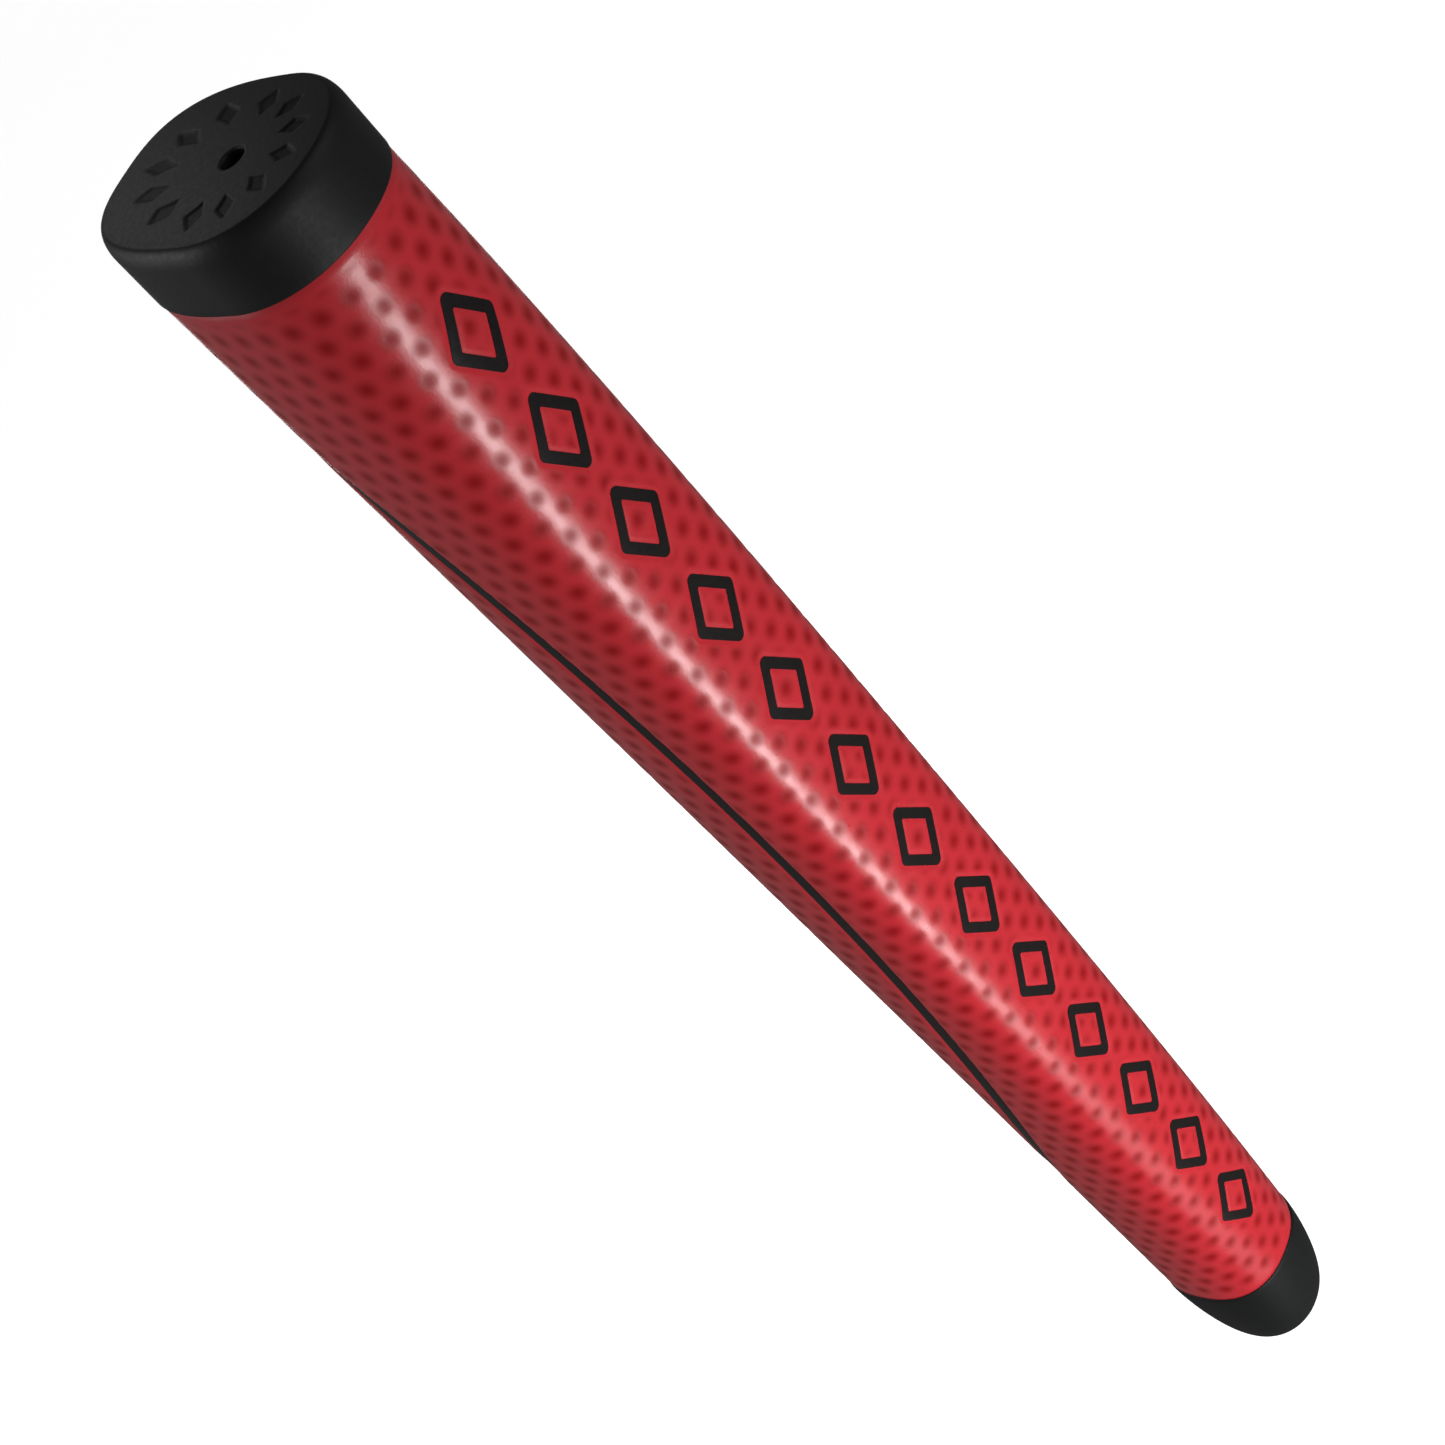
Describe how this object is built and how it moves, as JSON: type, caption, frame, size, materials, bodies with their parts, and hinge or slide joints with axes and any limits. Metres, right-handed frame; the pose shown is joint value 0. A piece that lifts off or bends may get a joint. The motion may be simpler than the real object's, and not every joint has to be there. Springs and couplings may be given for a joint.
{
  "type": "putter grip",
  "caption": "Flat-fronted putter grip: textured red sleeve over felt and a foam core, with a black vented butt cap and a tapering black nose piece that closes round the shaft.",
  "frame": {"origin": "centre of the bore's mouth, on the flat end of the nose piece", "axes": "+Z along the bore from the nose to the butt, +Y towards the flat front with the row of lozenges, +X to the side"},
  "size_m": [0.027, 0.034, 0.2733],
  "materials": {
    "skin": "semi-gloss polyurethane with a grid of small round dimples",
    "cap_rubber": "satin moulded rubber",
    "nose_rubber": "satin moulded rubber",
    "felt": "non-woven felt",
    "foam": "closed-cell foam",
    "paint": "black paint fill"
  },
  "bodies": {
    "root": {"butt_cap": "cap_rubber", "outer_skin": "skin", "felt_backing": "felt", "foam_core": "foam", "nose_cap": "nose_rubber", "front_inlay": "paint", "panel_line": "paint"}
  },
  "joints": []
}
